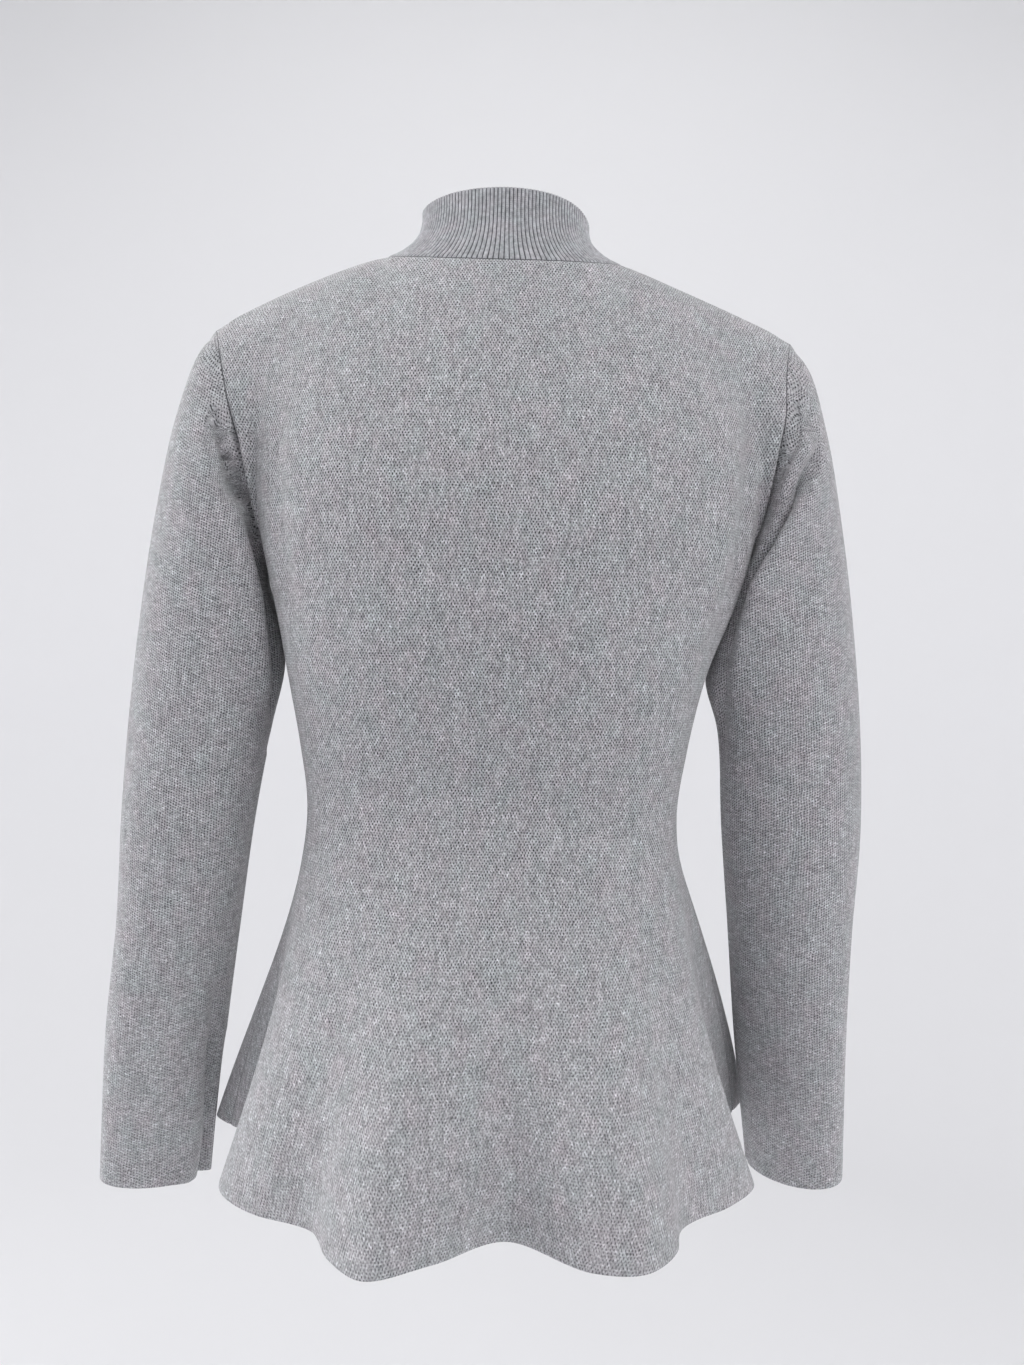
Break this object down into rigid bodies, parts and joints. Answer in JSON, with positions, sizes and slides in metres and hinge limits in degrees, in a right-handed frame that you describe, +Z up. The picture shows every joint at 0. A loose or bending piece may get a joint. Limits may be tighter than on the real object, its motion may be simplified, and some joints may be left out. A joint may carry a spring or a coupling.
{
  "type": "mock neck peplum sweater, worn hollow form without a wearer",
  "caption": "Long-sleeved grey double-knit sweater with a ribbed mock neck, close waist and fluted peplum hem, kept in its hollow worn form.",
  "frame": {"origin": "midway between the two side-neck points, in the plane of the shoulder seams, where the wearer's shoulders hold the sweater up", "axes": "+Z up the wearer's body, -Y the way the wearer faces, +X towards the wearer's left"},
  "size_m": [0.5133, 0.3034, 0.689],
  "materials": {
    "back_knit": "matte grey melange double knit",
    "front_knit": "matte grey melange double knit",
    "sleeve_left_knit": "matte grey melange double knit",
    "sleeve_right_knit": "matte grey melange double knit",
    "collar_rib": "matte 1x1 rib knit"
  },
  "bodies": {
    "root": {"back": "back_knit", "front": "front_knit", "sleeve_left": "sleeve_left_knit", "sleeve_right": "sleeve_right_knit", "collar": "collar_rib"}
  },
  "joints": []
}
